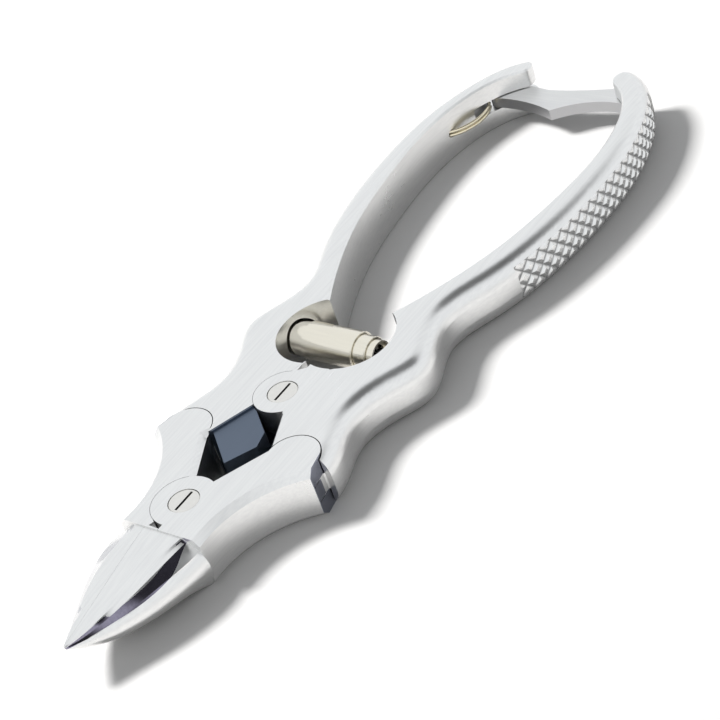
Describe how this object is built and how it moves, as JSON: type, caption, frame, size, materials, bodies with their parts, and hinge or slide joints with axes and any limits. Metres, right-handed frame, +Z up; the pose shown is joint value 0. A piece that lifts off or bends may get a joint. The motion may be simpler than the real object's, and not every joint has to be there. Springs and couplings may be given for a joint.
{
  "type": "nail clipper",
  "caption": "Double-action toenail nipper: two levered jaws with curved handles, a barrel spring between them and a locking bar across their ends.",
  "frame": {"origin": "middle of the tool's footprint, on the face that it lies on", "axes": "+X along the tool towards the tip of the jaws, +Y towards the near handle, +Z up through the thickness"},
  "size_m": [0.1402, 0.0424, 0.0088],
  "materials": {
    "satin_steel": "satin brushed stainless steel",
    "screw_steel": "turned stainless steel",
    "polished_nickel": "polished, slightly warm",
    "spring_steel": "drawn spring steel",
    "spring_wire": "bright plated spring wire",
    "latch_steel": "ground flat steel"
  },
  "bodies": {
    "far_handle": {"far_handle": "satin_steel", "handle_pivot_screw": "screw_steel", "far_spring_post": "spring_steel", "latch_pin": "satin_steel", "latch_spring": "spring_wire"},
    "near_handle": {"near_handle": "satin_steel", "near_spring_post": "spring_steel"},
    "far_jaw": {"far_jaw": "satin_steel", "far_link_pin": "satin_steel", "jaw_pivot_screw": "screw_steel"},
    "near_jaw": {"near_jaw": "satin_steel", "near_link_pin": "satin_steel"},
    "spring_barrel": {"spring_outer_sleeve": "polished_nickel", "spring_end_cap": "polished_nickel", "barrel_spring": "spring_steel"},
    "middle_sleeve": {"spring_middle_sleeve": "polished_nickel"},
    "guide_tube": {"spring_guide_tube": "polished_nickel"},
    "latch": {"latch_bar": "latch_steel"}
  },
  "joints": [
    {"name": "handle_hinge", "type": "hinge", "parent": "far_handle", "child": "near_handle", "pos_m": [0.0176, 0, 0.0044], "axis": [0, 0, -1], "range_deg": [0, 12]},
    {"name": "far_jaw_hinge", "type": "hinge", "parent": "far_handle", "child": "far_jaw", "pos_m": [0.0289, -0.0104, 0.0044], "axis": [0, 0, -1], "range_deg": [0, 11.4]},
    {"name": "near_jaw_hinge", "type": "hinge", "parent": "near_handle", "child": "near_jaw", "pos_m": [0.0289, 0.0104, 0.0044], "axis": [0, 0, 1], "range_deg": [0, 11.4]},
    {"name": "barrel_hinge", "type": "hinge", "parent": "far_handle", "child": "spring_barrel", "pos_m": [0.002, -0.0098, 0.0044], "axis": [0, 0, -1], "range_deg": [0, 6.2]},
    {"name": "middle_sleeve_slide", "type": "slide", "parent": "spring_barrel", "child": "middle_sleeve", "axis": [0, 1, 0], "range_m": [0, 0.0016]},
    {"name": "guide_tube_slide", "type": "slide", "parent": "spring_barrel", "child": "guide_tube", "axis": [0, 1, 0], "range_m": [0, 0.0032], "deforming": ["barrel_spring"]},
    {"name": "latch_hinge", "type": "hinge", "parent": "far_handle", "child": "latch", "pos_m": [-0.0645, -0.0134, 0.0044], "axis": [0, 0, 1], "range_deg": [0, 45.5]}
  ],
  "couplings": [
    {"joint": "far_jaw_hinge", "follows": "handle_hinge", "ratio": 0.9389},
    {"joint": "near_jaw_hinge", "follows": "handle_hinge", "ratio": 0.9389},
    {"joint": "barrel_hinge", "follows": "handle_hinge", "ratio": 0.5},
    {"joint": "middle_sleeve_slide", "follows": "handle_hinge", "m_per_rad": 0.0073},
    {"joint": "guide_tube_slide", "follows": "handle_hinge", "m_per_rad": 0.01477},
    {"joint": "latch_hinge", "follows": "handle_hinge", "ratio": 3.75}
  ]
}
